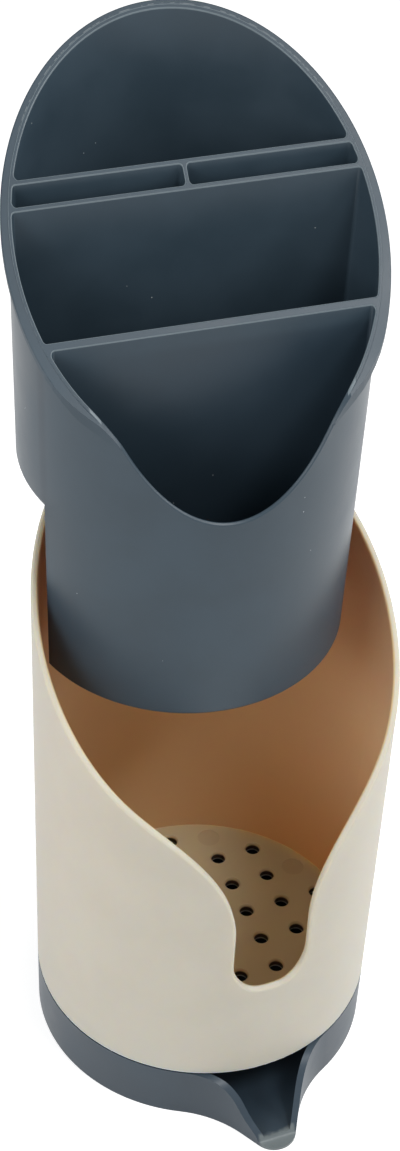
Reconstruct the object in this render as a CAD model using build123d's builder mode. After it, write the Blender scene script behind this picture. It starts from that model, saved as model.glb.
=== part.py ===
import os
from math import acos, cos, hypot, radians, sin, sqrt, tan

from build123d import *

os.makedirs("parts", exist_ok=True)

# Cutlery drainer: a drip tray with a pouring spout, a slant-rimmed sleeve that
# stands on it, and a divided insert that hangs by its shelf from the sleeve's
# rear rim. Millimetres, +Z up, the front and the spout towards -Y. The origin
# is the middle of the tray's underside, on the table.

# Shared values
cut_overrun = 5.0
running_clearance = 0.3
flat_tolerance = 0.001

# Drip tray
tray_radius = 60.2
tray_height = 22.5
tray_wall = 2.2
tray_floor = 3.0
tray_draft = 0.9
tray_foot_round = 0.3

# Spout of the tray, measured outwards from the round tray
spout_overhang = 20.4
spout_end_half_width = 4.8
spout_flank_angle = 29.0
spout_tip_round = 7.8
spout_sweep_radius = 42.0
spout_root = 8.2
spout_lip_start = 5.7
spout_lip_reaches = (0.1, 5.2, 11.0, 15.3)
spout_lip_drop_shares = (0.05, 0.25, 0.64, 0.85)
spout_end_drop_share = 0.94

# Sleeve
sleeve_wall = 2.4
sleeve_draft = 0.67
sleeve_floor = 3.7
sleeve_axis_height = 158.3
sleeve_edge_round = 0.8
sleeve_foot_round = 0.3
reveal_height = 0.5
reveal_depth = 0.9
skirt_depth = 1.9
skirt_wall = 1.6

# Slant of both rims, as rise over run towards the rear
rim_slope = 0.82

# Front slot of the sleeve, measured square to the slanted rim
slot_half_width = 13.5
slot_depth = 51.0
slot_bottom_round = 10.0
slot_shoulder_round = 30.0

# Drain holes in the sleeve's floor, on a square pitch with no hole in the middle
hole_diameter = 5.3
hole_pitch = 14.2
hole_chamfer = 0.5
hole_margin = 6.7
ejector_diameter = 8.4
ejector_depth = 0.25
ejector_near_share = 0.36
ejector_far_share = 0.77

# Insert
insert_wall = 1.3
insert_draft = 1.2
insert_floor = 2.0
insert_base_clearance = 2.9
insert_axis_height = 150.0
insert_setback = 32.5
insert_turn = -8.0
shelf_height = 67.4
shelf_thickness = 2.0
shelf_edge_round = 3.0
divider = 1.3
front_divider = 2.1
corner_round = 1.2
floor_round = 1.0
rim_round = 0.4
foot_round = 1.2

# Flange round the insert's rim, which seats on the sleeve's rim when nested
flange_overhang = 2.45
flange_thickness = 3.0
flange_step = 0.3
flange_bevel = 1.6
flange_start_angle = 62.0
flange_end_angle = 36.0
flange_fade_steps = 8

# Notch in the front of the insert's rim, measured square to the slanted rim
notch_depth = 17.2
notch_bottom_radius = 45.0
notch_shoulder_radius = 15.0

# Walls between the insert's compartments, as distances behind its axis and a slight turn
front_divider_at = -21.1
middle_divider_at = 12.8
rear_divider_at = 19.35
divider_turn = 1.5

# Drain holes in the insert
insert_hole_diameter = 5.0
slot_hole_diameter = 3.2
insert_hole_pitch = 14.2
insert_hole_rows = (-44.0, -30.0, -11.0, 3.2, 29.0, 43.0)
insert_hole_columns_shares = (-2.5, -1.5, -0.5, 0.5, 1.5, 2.5)

# Sizes that follow from the ones above
slant = sqrt(1 + rim_slope**2)
tray_base_radius = tray_radius - tray_height * tan(radians(tray_draft))
tray_growth = tan(radians(tray_draft))
spout_reach = tray_radius + spout_overhang
spout_root_at = tray_radius - spout_root
skirt_radius = (
    tray_base_radius - tray_wall + tray_growth * (tray_height - tray_floor - skirt_depth) - running_clearance
)
sleeve_growth = tan(radians(sleeve_draft))
sleeve_radius = tray_radius
sleeve_bore = sleeve_radius - sleeve_wall
hole_rows = 2 * round(sleeve_bore / hole_pitch)
sleeve_rear_radius = (sleeve_radius + sleeve_growth * sleeve_axis_height) / (1 - sleeve_growth * rim_slope)
sleeve_rear_height = sleeve_axis_height + rim_slope * sleeve_rear_radius
sleeve_stock_height = sleeve_rear_height + cut_overrun
sleeve_reach = sleeve_rear_radius + cut_overrun
insert_growth = tan(radians(insert_draft))
insert_radius = sleeve_bore - insert_base_clearance
insert_bore = insert_radius - insert_wall
insert_rim_radius = insert_radius + insert_growth * insert_axis_height
flange_radius = insert_rim_radius + flange_overhang
insert_rear_height = insert_axis_height + rim_slope * flange_radius
insert_stock_height = insert_rear_height + cut_overrun
insert_reach = flange_radius + cut_overrun
notch_angle = acos(1 - notch_depth / (notch_bottom_radius + notch_shoulder_radius))
notch_half_width = (notch_bottom_radius + notch_shoulder_radius) * sin(notch_angle)
notch_start = slant * (front_divider / 2 - front_divider_at) + rim_slope * notch_depth + running_clearance
sleeve_top = sleeve_rear_height - sleeve_edge_round * (rim_slope + slant - 1)
insert_bottom = tray_height + sleeve_top + running_clearance - shelf_height


def slanted_plane(base, height):
    # A plane across the slanted rim: its x runs along the piece's own x, its y
    # rises square to the rim, and its normal runs down the slope to the front.
    origin = base.from_local_coords(Vector(0, 0, height))
    down_slope = base.from_local_coords(Vector(0, -1, height - rim_slope)) - origin
    return Plane(origin=origin, x_dir=base.x_dir, z_dir=down_slope)


sleeve_plane = Plane.XY.offset(tray_height)
sleeve_rim_plane = slanted_plane(sleeve_plane, sleeve_axis_height)
insert_plane = Plane(
    origin=(0, insert_setback, insert_bottom),
    x_dir=(cos(radians(insert_turn)), sin(radians(insert_turn)), 0),
    z_dir=(0, 0, 1),
)
divider_plane = insert_plane.rotated((0, 0, divider_turn))
insert_rim_plane = slanted_plane(insert_plane, insert_axis_height)
flange_plane = slanted_plane(insert_plane, insert_axis_height - flange_step)


def tray_outline(inset):
    # Round tray with a tapered spout that sweeps into the circle on both sides.
    root_half_width = spout_end_half_width + (spout_reach - spout_root_at) * tan(radians(spout_flank_angle))
    Circle(tray_base_radius)
    Polygon(
        (-root_half_width, -spout_root_at),
        (-spout_end_half_width, -spout_reach),
        (spout_end_half_width, -spout_reach),
        (root_half_width, -spout_root_at),
        align=None,
    )
    fillet(vertices().group_by(Axis.Y)[0], radius=spout_tip_round)
    fillet(vertices().group_by(Axis.Y)[-1], radius=spout_sweep_radius)
    if inset:
        offset(amount=-inset, mode=Mode.REPLACE)


def notch_bend(side):
    # Where the round bottom of the notch runs over into a shoulder.
    across = side * notch_bottom_radius * sin(notch_angle)
    return (across, -notch_depth + notch_bottom_radius * (1 - cos(notch_angle)))


def flange_fade(side):
    # Points along one side of the notch, where the flange goes back into the wall in a soft S.
    wall_middle = insert_rim_radius - insert_wall / 2
    points = []
    for step in range(flange_fade_steps + 1):
        share = step / flange_fade_steps
        eased = share**2 * (3 - 2 * share)
        radius = flange_radius + eased * (wall_middle - flange_radius)
        angle = radians(flange_start_angle + share * (flange_end_angle - flange_start_angle))
        points.append((side * radius * sin(angle), -radius * cos(angle)))
    return points


def is_on_rim(face):
    # Whether a flat face lies in the insert's slanted rim.
    leaning = 1 - abs(face.normal_at().dot(insert_rim_plane.y_dir))
    height = insert_rim_plane.to_local_coords(face.center()).Y
    return leaning < flat_tolerance and abs(height) < flat_tolerance


def is_on_notch(face):
    # Whether a round face runs straight down the slope, as the notch does.
    return abs(face.normal_at().dot(insert_rim_plane.z_dir)) < flat_tolerance


lip_steps = list(zip(spout_lip_reaches, spout_lip_drop_shares))
hole_places = []
for place in GridLocations(hole_pitch, hole_pitch, hole_rows, hole_rows).locations:
    if hypot(place.position.X, place.position.Y) < sleeve_bore - hole_margin:
        hole_places.append((place.position.X, place.position.Y))

ejector_near = ejector_near_share * sleeve_radius
ejector_far = ejector_far_share * sleeve_radius
ejector_places = []
for across, behind in ((ejector_near, ejector_far), (ejector_far, ejector_near)):
    for side in (-1, 1):
        for end in (-1, 1):
            ejector_places.append((side * across, end * behind))

insert_hole_places = []
for row in insert_hole_rows:
    for column in insert_hole_columns_shares:
        across = column * insert_hole_pitch
        if hypot(across, row) < insert_bore - insert_hole_diameter:
            insert_hole_places.append((across, row))
slot_hole_places = []
for column in insert_hole_columns_shares:
    slot_hole_places.append((column * insert_hole_pitch, (middle_divider_at + rear_divider_at) / 2))

# Drip tray
with BuildPart() as drip_tray:
    with BuildSketch():
        tray_outline(0)
    extrude(amount=tray_height, taper=-tray_draft)
    with BuildSketch(Plane.XY.offset(tray_floor)):
        tray_outline(tray_wall)
    extrude(amount=tray_height, taper=-tray_draft, mode=Mode.SUBTRACT)
    # The lip falls from the rim in one S and runs out over the pouring edge
    with BuildSketch(Plane.YZ):
        with BuildLine():
            lip = Spline(
                (spout_lip_start - tray_radius, tray_height),
                *[(-tray_radius - reach, tray_height * (1 - share)) for reach, share in lip_steps],
                (-spout_reach, tray_height * (1 - spout_end_drop_share)),
                tangents=[(-1, 0), (-1, 0)],
            )
            Polyline(
                lip @ 1,
                lip @ 1 - Vector(cut_overrun, 0),
                (-spout_reach - cut_overrun, tray_height + cut_overrun),
                lip @ 0 + Vector(0, cut_overrun),
                lip @ 0,
            )
        make_face()
    extrude(amount=tray_radius, both=True, mode=Mode.SUBTRACT)
    fillet(edges().group_by(Axis.Z)[0], radius=tray_foot_round)
drip_tray.part.label = "drip_tray"
export_step(drip_tray.part, "parts/drip_tray.step")

# Sleeve
with BuildPart() as outer_sleeve:
    with BuildSketch(sleeve_plane):
        Circle(sleeve_radius)
    extrude(amount=sleeve_stock_height, taper=-sleeve_draft)
    with BuildSketch(sleeve_plane.offset(sleeve_floor)):
        Circle(sleeve_bore)
    extrude(amount=sleeve_stock_height, taper=-sleeve_draft, mode=Mode.SUBTRACT)
    # Everything above the slanted rim
    with BuildSketch(sleeve_rim_plane):
        Rectangle(2 * sleeve_reach, sleeve_stock_height, align=(Align.CENTER, Align.MIN))
    extrude(amount=slant * sleeve_reach, both=True, mode=Mode.SUBTRACT)
    # Front slot, with wide shoulders that run out along the rim
    with BuildSketch(sleeve_rim_plane):
        Rectangle(2 * sleeve_reach, sleeve_stock_height, align=(Align.CENTER, Align.MIN))
        with Locations((0, -slot_depth)):
            Rectangle(2 * slot_half_width, slot_depth, align=(Align.CENTER, Align.MIN))
        fillet(vertices().group_by(Axis.Y)[0], radius=slot_bottom_round)
        fillet(vertices().group_by(Axis.Y)[-2].sort_by(Axis.X)[1:3], radius=slot_shoulder_round)
    extrude(amount=slant * sleeve_reach + rim_slope * slot_depth, mode=Mode.SUBTRACT)
    slot_low = tray_height + sleeve_floor + cut_overrun
    rim_edges = edges().filter_by(lambda edge: edge.bounding_box().min.Z > slot_low)
    rim_edges = rim_edges.filter_by(lambda edge: edge.geom_type != GeomType.LINE)
    fillet(rim_edges, radius=sleeve_edge_round)
    # Shadow gap above the tray's rim
    with BuildSketch(sleeve_plane):
        Circle(sleeve_reach)
        Circle(sleeve_radius - reveal_depth, mode=Mode.SUBTRACT)
    extrude(amount=reveal_height, mode=Mode.SUBTRACT)
    sleeve_circles = edges().filter_by(GeomType.CIRCLE)
    fillet(sleeve_circles.filter_by(lambda edge: edge.radius > sleeve_radius), radius=sleeve_foot_round)
    # Skirt under the floor, which centres the sleeve inside the tray's wall
    with BuildSketch(sleeve_plane):
        Circle(skirt_radius)
        Circle(skirt_radius - skirt_wall, mode=Mode.SUBTRACT)
    extrude(amount=-skirt_depth)
    # Drain holes, countersunk on the inside
    with BuildSketch(sleeve_plane):
        with Locations(*hole_places):
            Circle(hole_diameter / 2)
    extrude(amount=sleeve_floor, mode=Mode.SUBTRACT)
    hole_edges = faces().filter_by(Axis.Z).group_by(Axis.Z)[-1].edges().filter_by(GeomType.CIRCLE)
    hole_edges = hole_edges.filter_by(lambda edge: edge.radius < hole_diameter)
    chamfer(hole_edges, length=hole_chamfer)
    # Shallow round marks left by the mould's ejector pins
    with BuildSketch(sleeve_plane.offset(sleeve_floor - ejector_depth)):
        with Locations(*ejector_places):
            Circle(ejector_diameter / 2)
    extrude(amount=ejector_depth, mode=Mode.SUBTRACT)
outer_sleeve.part.label = "outer_sleeve"
export_step(outer_sleeve.part, "parts/outer_sleeve.step")

# Hollow of the insert: one draughted bore, less the dividers and the raised shelf
with BuildPart() as compartments:
    with BuildSketch(insert_plane.offset(insert_floor)):
        Circle(insert_bore + insert_growth * insert_floor)
    extrude(amount=insert_stock_height, taper=-insert_draft)
    with BuildSketch(divider_plane):
        with Locations((0, front_divider_at - front_divider / 2)):
            Rectangle(2 * insert_reach, 2 * insert_reach, align=(Align.CENTER, Align.MIN))
    extrude(amount=shelf_height + shelf_thickness, mode=Mode.SUBTRACT)
    with BuildSketch(divider_plane):
        with Locations((0, front_divider_at)):
            Rectangle(2 * insert_reach, front_divider)
        with Locations((0, middle_divider_at), (0, rear_divider_at)):
            Rectangle(2 * insert_reach, divider)
        with Locations((0, (middle_divider_at + rear_divider_at) / 2)):
            Rectangle(divider, rear_divider_at - middle_divider_at)
    extrude(amount=2 * insert_stock_height, mode=Mode.SUBTRACT)
    upright_edges = edges().filter_by(lambda edge: edge.bounding_box().size.Z > shelf_height)
    fillet(upright_edges, radius=corner_round)
    floor_edges = faces().filter_by(Axis.Z).filter_by(
        lambda face: face.center().Z < insert_bottom + shelf_height + 2 * shelf_thickness
    ).edges()
    fillet(floor_edges, radius=floor_round)

# Cutter of the insert's front rim, whose notch has a wide round bottom between two tighter shoulders
with BuildPart() as front_rim:
    with BuildSketch(insert_rim_plane.offset(notch_start)):
        with BuildLine():
            bottom = ThreePointArc(notch_bend(-1), (0, -notch_depth), notch_bend(1))
            right = TangentArc(bottom @ 1, (notch_half_width, 0), tangent=bottom % 1)
            left = TangentArc(bottom @ 0, (-notch_half_width, 0), tangent=-(bottom % 0))
            Polyline(
                right @ 1,
                (insert_reach, 0),
                (insert_reach, insert_stock_height),
                (-insert_reach, insert_stock_height),
                (-insert_reach, 0),
                left @ 1,
            )
        make_face()
    extrude(amount=slant * insert_reach)

# Flange of the insert: a slanted ring just under the rim
with BuildPart() as flange:
    with BuildSketch(insert_plane):
        Circle(flange_radius)
    extrude(amount=2 * insert_stock_height)
    with BuildSketch(flange_plane):
        Rectangle(2 * insert_reach, flange_thickness, align=(Align.CENTER, Align.MAX))
    extrude(amount=slant * insert_reach, both=True, mode=Mode.INTERSECT)
    fillet(faces().filter_by(GeomType.PLANE).sort_by(Axis.Z)[-1].edges(), radius=rim_round)
    chamfer(faces().filter_by(GeomType.PLANE).sort_by(Axis.Z)[0].edges(), length=flange_bevel)
    # The flange runs out into the wall on both sides of the notch
    with BuildSketch(insert_plane):
        Polygon(
            *flange_fade(1),
            *reversed(flange_fade(-1)),
            (-insert_reach, -insert_reach),
            (insert_reach, -insert_reach),
            align=None,
        )
    extrude(amount=2 * insert_stock_height, mode=Mode.SUBTRACT)
    add(front_rim.part, mode=Mode.SUBTRACT)
    # Its inner half is left open up to the middle of the wall
    with BuildSketch(insert_plane):
        Circle(insert_radius - insert_wall / 2)
    extrude(amount=insert_stock_height, taper=-insert_draft, mode=Mode.SUBTRACT)

# Insert
with BuildPart() as cutlery_insert:
    with BuildSketch(insert_plane):
        Circle(insert_radius)
    extrude(amount=insert_stock_height, taper=-insert_draft)
    # Behind the front compartment the insert stops at the shelf
    with BuildSketch(divider_plane.offset(-cut_overrun)):
        with Locations((0, front_divider_at + front_divider / 2)):
            Rectangle(2 * insert_reach, 2 * insert_reach, align=(Align.CENTER, Align.MIN))
    extrude(amount=cut_overrun + shelf_height, mode=Mode.SUBTRACT)
    foot_edges = edges().filter_by(lambda edge: edge.bounding_box().max.Z < insert_bottom + flat_tolerance)
    fillet(foot_edges, radius=foot_round)
    shelf_edges = faces().filter_by(Axis.Z).group_by(Axis.Z)[1].edges().filter_by(GeomType.CIRCLE)
    fillet(shelf_edges, radius=shelf_edge_round)
    add(compartments.part, mode=Mode.SUBTRACT)
    # Everything above the slanted rim
    add(front_rim.part, mode=Mode.SUBTRACT)
    with BuildSketch(insert_rim_plane.offset(notch_start)):
        Rectangle(2 * insert_reach, insert_stock_height, align=(Align.CENTER, Align.MIN))
    extrude(amount=-slant * insert_reach - notch_start, mode=Mode.SUBTRACT)
    # Rounds along the rim, the notch and the tops of the dividers
    rim_faces = faces().filter_by(GeomType.PLANE).filter_by(is_on_rim)
    rim_faces += faces().filter_by(GeomType.CYLINDER).filter_by(is_on_notch)
    rim_edges = rim_faces.edges()
    fillet(rim_edges.filter_by(lambda edge: rim_edges.count(edge) == 1), radius=rim_round)
    add(flange.part)
    # Drain holes through the floor of the front compartment and through the shelf
    with BuildSketch(divider_plane):
        with Locations(*insert_hole_places):
            Circle(insert_hole_diameter / 2)
        with Locations(*slot_hole_places):
            Circle(slot_hole_diameter / 2)
    extrude(amount=shelf_height + shelf_thickness, mode=Mode.SUBTRACT)
cutlery_insert.part.label = "cutlery_insert"
export_step(cutlery_insert.part, "parts/cutlery_insert.step")
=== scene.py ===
import math

import bpy
from mathutils import Matrix, Vector

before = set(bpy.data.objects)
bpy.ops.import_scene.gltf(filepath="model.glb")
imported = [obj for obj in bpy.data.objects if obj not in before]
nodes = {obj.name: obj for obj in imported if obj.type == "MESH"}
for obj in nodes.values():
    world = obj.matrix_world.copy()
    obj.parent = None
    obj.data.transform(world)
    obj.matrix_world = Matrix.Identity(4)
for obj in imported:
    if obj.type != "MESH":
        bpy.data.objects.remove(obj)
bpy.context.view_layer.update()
print("frame loaded:", sorted(nodes))

# camera: place and axes in metres, at the photograph's viewing angle
cameraSet = {
    "place": (-0.2630, -0.5844, 0.75635),
    "right": (0.9285, -0.3693, 0.0384),
    "up": (0.2146, 0.6183, 0.7560),
    "back": (-0.3030, -0.6937, 0.6534),
    "lens": 81.3,
    "sensor": 36.0,
    "clip": (0.01, 20.0),
}


def makeCamera(values):
    data = bpy.data.cameras.new("viewCamera")
    data.lens = values["lens"]
    data.sensor_width = values["sensor"]
    data.sensor_fit = "AUTO"
    data.clip_start, data.clip_end = values["clip"]
    camera = bpy.data.objects.new("viewCamera", data)
    bpy.context.scene.collection.objects.link(camera)
    columns = [Vector(values[axis]).normalized() for axis in ("right", "up", "back")]
    turn = Matrix(columns).transposed().to_4x4()
    camera.matrix_world = Matrix.Translation(values["place"]) @ turn
    bpy.context.scene.camera = camera


makeCamera(cameraSet)
print("camera set")

# light: one broad soft box each side, a smaller one above, and an even sky
lightSet = {
    "leftBox": {"place": (-1.1, -0.38, 0.75), "aim": (0, 0, 0.20), "size": 0.8, "watts": 8.5},
    "rightBox": {"place": (1.1, -0.55, 0.90), "aim": (0, 0, 0.20), "size": 0.7, "watts": 8.5},
    "topBox": {"place": (0.41, -0.66, 1.42), "aim": (0, 0.02, 0.25), "size": 0.45, "watts": 7.5},
}
skySet = {"colour": (1.0, 1.0, 1.0, 1.0), "strength": 0.30, "seenStrength": 1.0}


def makeSoftBox(name, values):
    data = bpy.data.lights.new(name, "AREA")
    data.shape = "SQUARE"
    data.size = values["size"]
    data.energy = values["watts"]
    lamp = bpy.data.objects.new(name, data)
    bpy.context.scene.collection.objects.link(lamp)
    aim = Vector(values["aim"]) - Vector(values["place"])
    lamp.rotation_euler = aim.to_track_quat("-Z", "Y").to_euler()
    lamp.location = values["place"]


for boxName, boxValues in lightSet.items():
    makeSoftBox(boxName, boxValues)


def linkNodes(tree, *pairs):
    for source, target in pairs:
        tree.links.new(source, target)


def mathNode(tree, operation, first, second=None, third=None):
    node = tree.nodes.new("ShaderNodeMath")
    node.operation = operation
    for slot, value in enumerate((first, second, third)):
        if value is None:
            continue
        if isinstance(value, (int, float)):
            node.inputs[slot].default_value = value
        else:
            tree.links.new(value, node.inputs[slot])
    return node.outputs[0]


def timesNode(tree, first, *others):
    for other in others:
        first = mathNode(tree, "MULTIPLY", first, other)
    return first


def rangeNode(tree, value, low, high, outLow=0.0, outHigh=1.0):
    node = tree.nodes.new("ShaderNodeMapRange")
    node.interpolation_type = "SMOOTHSTEP"
    for name, number in (("From Min", low), ("From Max", high), ("To Min", outLow), ("To Max", outHigh)):
        node.inputs[name].default_value = number
    tree.links.new(value, node.inputs["Value"])
    return node.outputs["Result"]


def bandMask(tree, value, middle, half, soft):
    # one within half of the middle, fading out over the soft width
    away = mathNode(tree, "ABSOLUTE", mathNode(tree, "SUBTRACT", value, middle))
    return rangeNode(tree, away, half + soft, half)


def mixColour(tree, share, first, second):
    # the mix node has sockets for every type: inputs 6 and 7 and output 2 are the colours
    node = tree.nodes.new("ShaderNodeMix")
    node.data_type = "RGBA"
    for slot, value in ((0, share), (6, first), (7, second)):
        if isinstance(value, tuple):
            node.inputs[slot].default_value = value
        else:
            tree.links.new(value, node.inputs[slot])
    return node.outputs[2]


def splitAxes(tree, place):
    axes = tree.nodes.new("ShaderNodeSeparateXYZ")
    tree.links.new(place, axes.inputs[0])
    return axes.outputs


def radiusNode(tree, across, along):
    square = mathNode(tree, "MULTIPLY_ADD", across, across, timesNode(tree, along, along))
    return mathNode(tree, "SQRT", square)


def seenDirectly(tree):
    # one for rays that meet the background as such: from the camera, a mirror or glass
    path = tree.nodes.new("ShaderNodeLightPath")
    plain = mathNode(tree, "MAXIMUM", path.outputs["Is Camera Ray"], path.outputs["Is Glossy Ray"])
    return mathNode(tree, "MAXIMUM", plain, path.outputs["Is Transmission Ray"])


def makeWorld(values):
    world = bpy.data.worlds.new("evenSky")
    bpy.context.scene.world = world
    world.use_nodes = True
    tree = world.node_tree
    tree.nodes.clear()
    sky = tree.nodes.new("ShaderNodeBackground")
    sky.inputs["Strength"].default_value = values["strength"]
    white = tree.nodes.new("ShaderNodeBackground")
    white.inputs["Strength"].default_value = values["seenStrength"]
    for shade in (sky, white):
        shade.inputs["Color"].default_value = values["colour"]
    mix = tree.nodes.new("ShaderNodeMixShader")
    out = tree.nodes.new("ShaderNodeOutputWorld")
    linkNodes(
        tree,
        (seenDirectly(tree), mix.inputs[0]),
        (sky.outputs[0], mix.inputs[1]),
        (white.outputs[0], mix.inputs[2]),
        (mix.outputs[0], out.inputs[0]),
    )


makeWorld(skySet)

floorSet = {"half": 3.0, "colour": (0.8, 0.8, 0.8, 1.0), "glow": 0.62}


def makeFloor(values):
    half = values["half"]
    mesh = bpy.data.meshes.new("paleFloor")
    corners = [(-half, -half, 0), (half, -half, 0), (half, half, 0), (-half, half, 0)]
    mesh.from_pydata(corners, [], [(0, 1, 2, 3)])
    floor = bpy.data.objects.new("paleFloor", mesh)
    bpy.context.scene.collection.objects.link(floor)
    material = bpy.data.materials.new("paleFloor")
    material.use_nodes = True
    tree = material.node_tree
    tree.nodes.clear()
    matt = tree.nodes.new("ShaderNodeBsdfDiffuse")
    matt.inputs["Color"].default_value = values["colour"]
    glow = tree.nodes.new("ShaderNodeEmission")
    both = tree.nodes.new("ShaderNodeAddShader")
    out = tree.nodes.new("ShaderNodeOutputMaterial")
    linkNodes(
        tree,
        (timesNode(tree, seenDirectly(tree), values["glow"]), glow.inputs["Strength"]),
        (matt.outputs[0], both.inputs[0]),
        (glow.outputs[0], both.inputs[1]),
        (both.outputs[0], out.inputs[0]),
    )
    mesh.materials.append(material)


makeFloor(floorSet)
bpy.context.scene.view_settings.view_transform = "Standard"
print("floor and light set")

# moulded grain: fine height for the bump, broad mottling, and a few specks;
# each noise has its scale, detail and roughness
grainSet = {
    "fine": (2400.0, 2.0, 0.6),
    "soft": (420.0, 2.0, 0.5),
    "softShare": 0.7,
    "broad": (34.0, 4.0, 0.55),
    "mottleRange": (0.3, 0.7),
    "cellScale": 230.0,
    "speckRange": (0.052, 0.024),
    "speckAbove": 0.86,
    "bumpDistance": 0.0001,
}


def startGroup(name, inputs, outputs):
    tree = bpy.data.node_groups.new(name, "ShaderNodeTree")
    for socket, kind in inputs:
        tree.interface.new_socket(socket, in_out="INPUT", socket_type=kind)
    for socket, kind in outputs:
        tree.interface.new_socket(socket, in_out="OUTPUT", socket_type=kind)
    return tree, tree.nodes.new("NodeGroupInput"), tree.nodes.new("NodeGroupOutput")


def noiseNode(tree, vector, scale, detail, rough):
    node = tree.nodes.new("ShaderNodeTexNoise")
    node.inputs["Scale"].default_value = scale
    node.inputs["Detail"].default_value = detail
    node.inputs["Roughness"].default_value = rough
    tree.links.new(vector, node.inputs["Vector"])
    return node.outputs[0]


def makeGrainGroup(values):
    tree, start, end = startGroup(
        "mouldedGrain",
        [("Place", "NodeSocketVector")],
        [("Height", "NodeSocketFloat"), ("Mottle", "NodeSocketFloat"), ("Speck", "NodeSocketFloat")],
    )
    place = start.outputs["Place"]
    fine = noiseNode(tree, place, *values["fine"])
    soft = noiseNode(tree, place, *values["soft"])
    broad = noiseNode(tree, place, *values["broad"])
    height = mathNode(tree, "MULTIPLY_ADD", soft, values["softShare"], fine)
    cells = tree.nodes.new("ShaderNodeTexVoronoi")
    cells.inputs["Scale"].default_value = values["cellScale"]
    tree.links.new(place, cells.inputs["Vector"])
    near = rangeNode(tree, cells.outputs["Distance"], *values["speckRange"])
    tint = tree.nodes.new("ShaderNodeSeparateColor")
    tree.links.new(cells.outputs["Color"], tint.inputs[0])
    chosen = mathNode(tree, "GREATER_THAN", tint.outputs[0], values["speckAbove"])
    linkNodes(
        tree,
        (height, end.inputs["Height"]),
        (broad, end.inputs["Mottle"]),
        (timesNode(tree, near, chosen), end.inputs["Speck"]),
    )
    return tree


grainGroup = makeGrainGroup(grainSet)


def startMaterial(name):
    material = bpy.data.materials.new(name)
    material.use_nodes = True
    tree = material.node_tree
    shader = tree.nodes["Principled BSDF"]
    place = tree.nodes.new("ShaderNodeTexCoord").outputs["Object"]
    grain = tree.nodes.new("ShaderNodeGroup")
    grain.node_tree = grainGroup
    tree.links.new(place, grain.inputs["Place"])
    return material, tree, shader, place, grain


def mottledColour(tree, grain, values):
    mottle = rangeNode(tree, grain.outputs["Mottle"], *grainSet["mottleRange"])
    return mixColour(tree, mottle, values["dark"], values["light"])


def finishMaterial(tree, shader, colour, grain, values):
    speck = timesNode(tree, grain.outputs["Speck"], values["speckShare"])
    dusty = mixColour(tree, speck, colour, values["speckColour"])
    smoother = values["rough"] - values["roughSwing"]
    rougher = values["rough"] + values["roughSwing"]
    rough = rangeNode(tree, grain.outputs["Mottle"], *grainSet["mottleRange"], smoother, rougher)
    bump = tree.nodes.new("ShaderNodeBump")
    bump.inputs["Strength"].default_value = values["bump"]
    bump.inputs["Distance"].default_value = grainSet["bumpDistance"]
    shader.inputs["IOR"].default_value = values["ior"]
    linkNodes(
        tree,
        (dusty, shader.inputs["Base Color"]),
        (rough, shader.inputs["Roughness"]),
        (grain.outputs["Height"], bump.inputs["Height"]),
        (bump.outputs[0], shader.inputs["Normal"]),
    )


slateSet = {
    "dark": (0.031, 0.051, 0.069, 1.0),
    "light": (0.039, 0.062, 0.083, 1.0),
    "speckColour": (0.70, 0.75, 0.76, 1.0),
    "speckShare": 1.0,
    "rough": 0.38,
    "roughSwing": 0.04,
    "bump": 0.12,
    "ior": 1.40,
}
traySet = {**slateSet, "dark": (0.025, 0.041, 0.058, 1.0), "light": (0.032, 0.051, 0.071, 1.0)}


def makeSlate(name, values, addMarks, marks):
    material, tree, shader, place, grain = startMaterial(name)
    colour = addMarks(tree, place, mottledColour(tree, grain, values), marks)
    finishMaterial(tree, shader, colour, grain, values)
    return material


# the insert: a painted highlight along the rim edges, a broken hairline of moulding flash on the step at
# the rear, and painted shade along a sink line outside the front divider; lengths in metres, each band
# as middle, half width and fade
insertMarks = {
    "axis": (0.0, 0.0325),
    "turn": math.radians(-8.0),
    "rimHeight": 0.31418,
    "rimSlope": 0.82,
    "wallRadius": 0.0549,
    "wallFrom": 0.16418,
    "wallGrowth": math.tan(math.radians(1.2)),
    # painted highlight on the rim edges
    "edgeHighlight": (0.20, 0.245, 0.27, 1.0),
    "edgeHighlightShare": 0.7,
    "edgeHighlightBand": (-0.00027, 0.00024, 0.00002),
    "edgeHighlightInward": (-0.0001, -0.0003),
    "flash": (0.55, 0.60, 0.61, 1.0),
    "flashShare": 0.22,
    "flashNoise": (520.0, 2.0, 0.5),
    "flashRagged": (0.46, 0.56),
    "flashBand": (0.0, 0.00005, 0.00012),
    "flashHeight": (-0.0002, 0.0002, 0.0001),
    "flashRear": (0.028, 0.034),
    # painted shade along the sink line
    "sinkShade": (0.020, 0.034, 0.050, 1.0),
    "sinkShadeShare": 0.5,
    "sinkShadeBand": (-0.0211, 0.0006, 0.0022),
    "sinkShadeBelow": (-0.004, -0.008),
}


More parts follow.
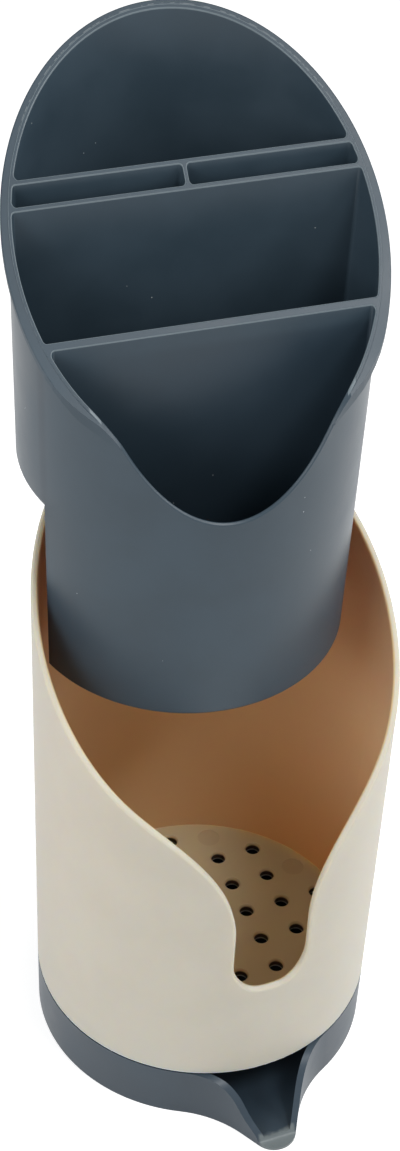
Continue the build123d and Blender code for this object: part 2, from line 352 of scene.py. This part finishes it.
def markInsert(tree, place, colour, values):
    east, north, height = splitAxes(tree, place)
    across = mathNode(tree, "SUBTRACT", east, values["axis"][0])
    along = mathNode(tree, "SUBTRACT", north, values["axis"][1])
    cross = timesNode(tree, across, -math.sin(values["turn"]))
    behind = mathNode(tree, "MULTIPLY_ADD", along, math.cos(values["turn"]), cross)
    rise = mathNode(tree, "SUBTRACT", height, values["rimHeight"])
    overRim = mathNode(tree, "MULTIPLY_ADD", behind, -values["rimSlope"], rise)
    wallStart = values["wallRadius"] - values["wallGrowth"] * values["wallFrom"]
    wall = mathNode(tree, "MULTIPLY_ADD", height, values["wallGrowth"], wallStart)
    outward = mathNode(tree, "SUBTRACT", radiusNode(tree, across, along), wall)
    # painted highlight: the rim edges are lightened as if light caught them
    edgeHighlight = timesNode(
        tree,
        bandMask(tree, overRim, *values["edgeHighlightBand"]),
        rangeNode(tree, outward, *values["edgeHighlightInward"]),
        values["edgeHighlightShare"],
    )
    colour = mixColour(tree, edgeHighlight, colour, values["edgeHighlight"])
    flash = timesNode(
        tree,
        bandMask(tree, outward, *values["flashBand"]),
        rangeNode(tree, noiseNode(tree, place, *values["flashNoise"]), *values["flashRagged"]),
        rangeNode(tree, behind, *values["flashRear"]),
        bandMask(tree, overRim, *values["flashHeight"]),
        values["flashShare"],
    )
    colour = mixColour(tree, flash, colour, values["flash"])
    # painted shade: a darker band along the sink line outside the front divider
    sinkShade = timesNode(
        tree,
        bandMask(tree, behind, *values["sinkShadeBand"]),
        values["sinkShadeShare"],
        rangeNode(tree, overRim, *values["sinkShadeBelow"]),
    )
    return mixColour(tree, sinkShade, colour, values["sinkShade"])


# the tray: a painted patch of light with a wavering edge on the spout's tip
trayMarks = {
    "tipLight": (0.140, 0.165, 0.172, 1.0),
    "tipFrom": -0.0735,
    "tipFade": 0.0022,
    "tipHeight": (0.0052, 0.0044),
    "tipBand": (0.0, 0.0062, 0.0012),
    "waver": 0.0035,
    "waverNoise": (260.0, 2.0, 0.5),
}


def markTray(tree, place, colour, values):
    across, along, height = splitAxes(tree, place)
    patchy = noiseNode(tree, place, *values["waverNoise"])
    wavering = mathNode(tree, "MULTIPLY_ADD", patchy, values["waver"], along)
    tipStart = values["tipFrom"] + values["waver"] / 2
    # painted light: a pale patch on the spout's tip
    tipLight = timesNode(
        tree,
        rangeNode(tree, wavering, tipStart, tipStart - values["tipFade"]),
        rangeNode(tree, height, *values["tipHeight"]),
        bandMask(tree, across, *values["tipBand"]),
    )
    return mixColour(tree, tipLight, colour, values["tipLight"])


insertSlate = makeSlate("insertSlate", slateSet, markInsert, insertMarks)
traySlate = makeSlate("traySlate", traySet, markTray, trayMarks)

# the sleeve: pale outside, and inside a tan that is painted warm light, told apart by its own radius and
# height in metres;
# each range runs from where a tone starts to where it is full
creamSet = {
    "dark": (0.555, 0.525, 0.445, 1.0),
    "light": (0.585, 0.555, 0.475, 1.0),
    "speckColour": (0.30, 0.27, 0.22, 1.0),
    "speckShare": 0.25,
    "rough": 0.45,
    "roughSwing": 0.04,
    "bump": 0.08,
    "ior": 1.46,
    "bore": 0.0578,
    "boreFrom": 0.0262,
    "boreGrowth": math.tan(math.radians(0.67)),
    # painted highlight on the edge above the shadow gap
    "footHighlight": (0.82, 0.80, 0.74, 1.0),
    "footHighlightBand": (0.0232, 0.0002, 0.0002),
    "aboveRange": (0.0228, 0.0234),
    # painted warm light: a tan band at the bore's edge and the tan inside
    "edge": (0.62, 0.50, 0.30, 1.0),
    "edgeRange": (0.0010, 0.0005),
    "inside": (0.66, 0.50, 0.31, 1.0),
    "insideRange": (0.0005, 0.0001),
    # painted shade: the inside darkens towards the rim
    "upperShade": (0.42, 0.29, 0.17, 1.0),
    "upperShadeRange": (0.11, 0.20),
    # painted warm light: the inside floor is a brighter tan, a little darker in the round recesses
    "floor": (0.96, 0.76, 0.52, 1.0),
    "floorRange": (0.02635, 0.02625),
    "recess": (0.90, 0.70, 0.47, 1.0),
    "recessRange": (0.02614, 0.02604),
    # painted shade on the lower hole walls
    "holeShade": (0.09, 0.065, 0.045, 1.0),
    "holeShadeRange": (0.0254, 0.0246),
    "glowWeight": 0.6,
    "glowReach": (1.0, 0.62, 0.27),
    "glowScale": 0.008,
}


def creamOutside(tree, height, grain, values):
    # a painted highlight makes the edge above the shadow gap paler
    outside = mottledColour(tree, grain, values)
    return mixColour(tree, bandMask(tree, height, *values["footHighlightBand"]), outside, values["footHighlight"])


def creamInside(tree, height, values):
    # painted light and shade inside: the wall darkens towards the rim as painted shade, the floor takes
    # a brighter painted warm light with round marks, and the lower hole walls take painted shade
    upperShade = rangeNode(tree, height, *values["upperShadeRange"])
    wall = mixColour(tree, upperShade, values["inside"], values["upperShade"])
    # painted warm light on the floor inside, a little darker in the round recesses
    sunk = rangeNode(tree, height, *values["recessRange"])
    floor = mixColour(tree, sunk, values["floor"], values["recess"])
    # painted shade: the lower hole walls are darkened
    holeShadeMask = rangeNode(tree, height, *values["holeShadeRange"])
    floor = mixColour(tree, holeShadeMask, floor, values["holeShade"])
    return mixColour(tree, rangeNode(tree, height, *values["floorRange"]), wall, floor)


def makeCream(values):
    material, tree, shader, place, grain = startMaterial("creamPlastic")
    across, along, height = splitAxes(tree, place)
    boreStart = values["bore"] - values["boreGrowth"] * values["boreFrom"]
    bore = mathNode(tree, "MULTIPLY_ADD", height, values["boreGrowth"], boreStart)
    depth = mathNode(tree, "SUBTRACT", radiusNode(tree, across, along), bore)
    above = rangeNode(tree, height, *values["aboveRange"])
    # painted warm light: the bore's edge and the inside take tan in place of the pale outside
    nearEdge = timesNode(tree, rangeNode(tree, depth, *values["edgeRange"]), above)
    inner = timesNode(tree, rangeNode(tree, depth, *values["insideRange"]), above)
    colour = mixColour(tree, nearEdge, creamOutside(tree, height, grain, values), values["edge"])
    colour = mixColour(tree, inner, colour, creamInside(tree, height, values))
    finishMaterial(tree, shader, colour, grain, values)
    # thin pale plastic lets warm light through to the inside
    shader.inputs["Subsurface Weight"].default_value = values["glowWeight"]
    shader.inputs["Subsurface Radius"].default_value = values["glowReach"]
    shader.inputs["Subsurface Scale"].default_value = values["glowScale"]
    return material


cream = makeCream(creamSet)
finishes = {"drip_tray": traySlate, "outer_sleeve": cream, "cutlery_insert": insertSlate}
for nodeName, finish in finishes.items():
    mesh = nodes[nodeName].data
    mesh.materials.clear()
    mesh.materials.append(finish)
print("materials set")
